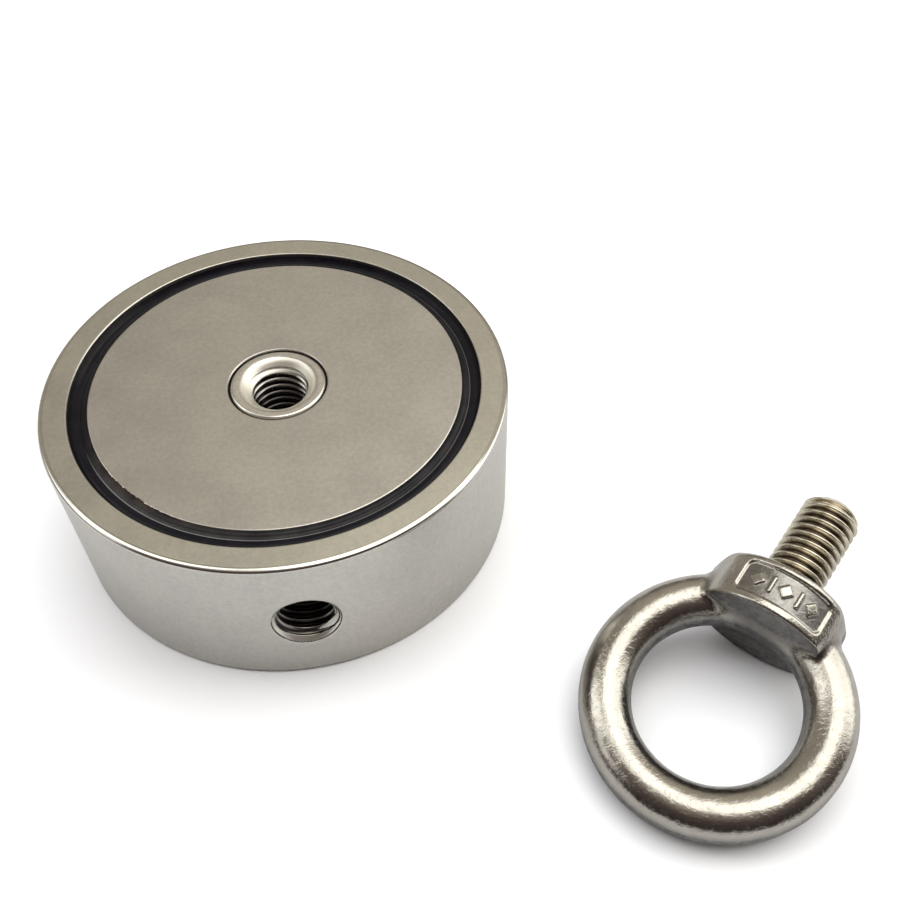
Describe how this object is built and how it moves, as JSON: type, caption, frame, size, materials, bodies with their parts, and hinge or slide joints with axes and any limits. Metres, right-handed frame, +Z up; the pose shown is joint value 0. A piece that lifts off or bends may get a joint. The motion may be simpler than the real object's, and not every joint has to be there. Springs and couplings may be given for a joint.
{
  "type": "magnet fishing magnet",
  "caption": "Round double-sided retrieval magnet with a threaded centre hole, a threaded side hole and a loose lifting eyebolt beside it.",
  "frame": {"origin": "centre of the magnet's lower face, on the ground", "axes": "+Z up through the centre hole; -Y out of the side hole; the eyebolt lies on the ground towards +X and -Y"},
  "size_m": [0.1272, 0.1171, 0.028],
  "materials": {
    "housing_nickel": "satin nickel plate",
    "sleeve_nickel": "bright nickel plate",
    "magnet_nickel": "satin nickel plate",
    "bond_adhesive": "cured adhesive",
    "black_epoxy": "glossy cast resin",
    "eyebolt_stainless": "tumbled cast stainless steel"
  },
  "bodies": {
    "magnet": {"housing": "housing_nickel", "centre_sleeve": "sleeve_nickel", "magnet_upper": "magnet_nickel", "magnet_lower": "magnet_nickel", "bond_upper": "bond_adhesive", "bond_lower": "bond_adhesive", "potting_upper": "black_epoxy", "potting_lower": "black_epoxy", "sleeve_seal_upper": "black_epoxy", "sleeve_seal_lower": "black_epoxy"},
    "eyebolt": {"eyebolt": "eyebolt_stainless"}
  },
  "joints": [
    {"name": "eyebolt_lift", "type": "slide", "parent": "magnet", "child": "eyebolt", "axis": [0, 0, 1], "range_m": [0, 0.06]}
  ]
}
